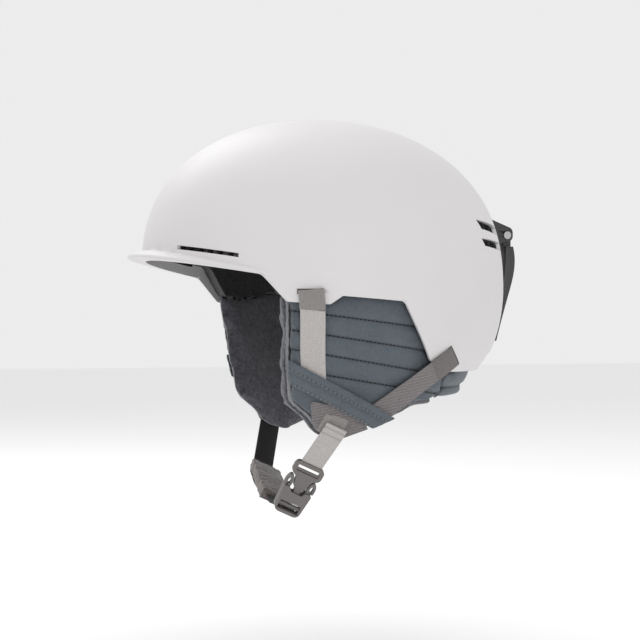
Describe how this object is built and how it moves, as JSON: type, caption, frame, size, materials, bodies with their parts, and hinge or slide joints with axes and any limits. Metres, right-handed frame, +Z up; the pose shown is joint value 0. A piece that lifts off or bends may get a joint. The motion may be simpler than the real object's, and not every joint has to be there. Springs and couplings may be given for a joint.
{
  "type": "ski helmet",
  "caption": "Domed ski helmet with a short brim, quilted ear pads, neck roll, webbing harness, chin pad, side-release buckle and hinged goggle strap retainer.",
  "frame": {"origin": "centre of the head's widest level, where the head sits: the middle of the dome's widest section", "axes": "+Z up to the crown, -Y to the front (the brim), +X to the wearer's left"},
  "size_m": [0.212, 0.2762, 0.2689],
  "materials": {
    "shell": "matte painted shell",
    "foam": "moulded foam, black",
    "louvre": "matte",
    "comfort": "brushed knit",
    "quilt": "woven slate, quilted",
    "fleece": "fleece",
    "piping": "bound edge",
    "black_plastic": "matte",
    "webbing": "twill webbing",
    "webbing_light": "plain webbing",
    "webbing_black": "plain webbing",
    "chin_fleece": "brushed fleece",
    "buckle": "satin moulded",
    "retainer": "satin moulded",
    "steel": "brushed"
  },
  "bodies": {
    "helmet": {"bracket_screw": "steel", "brow_pad": "comfort", "brow_vent_insert_left": "louvre", "brow_vent_insert_right": "louvre", "crown_pad": "comfort", "ear_pad_cover_left": "quilt", "ear_pad_cover_right": "quilt", "ear_pad_lining_left": "fleece", "ear_pad_lining_right": "fleece", "ear_pad_piping_left": "piping", "ear_pad_piping_right": "piping", "ear_pad_snaps_left": "black_plastic", "ear_pad_snaps_right": "black_plastic", "eps_liner": "foam", "front_strap_left": "webbing_light", "front_strap_right": "webbing_light", "goggle_bracket": "retainer", "goggle_pin": "steel", "goggle_stud": "retainer", "neck_roll": "quilt", "outer_shell": "shell", "rear_pad": "comfort", "rear_strap_left": "webbing", "rear_strap_right": "webbing", "rear_vent_insert_left": "louvre", "rear_vent_insert_right": "louvre", "side_pad_left": "comfort", "side_pad_right": "comfort", "strap_anchors_left": "black_plastic", "strap_anchors_right": "black_plastic", "strap_sleeve_left": "quilt", "strap_sleeve_right": "quilt", "strap_tab_left": "webbing", "strap_tab_right": "webbing"},
    "goggle_retainer": {"goggle_arm": "retainer"},
    "chin_loop": {"chin_strap_left": "webbing_light", "chin_strap_right": "webbing_black", "chin_strap_tail": "webbing_black", "chin_pad": "chin_fleece", "buckle_female": "buckle"},
    "buckle_male": {"buckle_male": "buckle"},
    "buckle_arm_front": {"buckle_arm_front": "buckle"},
    "buckle_arm_rear": {"buckle_arm_rear": "buckle"}
  },
  "joints": [
    {"name": "goggle_retainer_hinge", "type": "hinge", "parent": "helmet", "child": "goggle_retainer", "pos_m": [0, 0.133, 0.029], "axis": [1, 0, 0], "range_deg": [0, 100]},
    {"name": "chin_loop_swing", "type": "hinge", "parent": "helmet", "child": "chin_loop", "pos_m": [0, -0.017, -0.104], "axis": [1, 0, 0], "range_deg": [-18, 15]},
    {"name": "buckle_release", "type": "slide", "parent": "chin_loop", "child": "buckle_male", "axis": [0.3649, 0.3935, 0.8438], "range_m": [0, 0.0105], "deforming": ["chin_strap_left"]},
    {"name": "buckle_front_latch", "type": "hinge", "parent": "buckle_male", "child": "buckle_arm_front", "pos_m": [0.0562, -0.03761, -0.13401], "axis": [0.9311, -0.1542, -0.3307], "range_deg": [0, 5], "stiffness_Nm_per_rad": 0.05},
    {"name": "buckle_rear_latch", "type": "hinge", "parent": "buckle_male", "child": "buckle_arm_rear", "pos_m": [0.0562, -0.02674, -0.13908], "axis": [-0.9311, 0.1542, 0.3307], "range_deg": [0, 5], "stiffness_Nm_per_rad": 0.05}
  ]
}
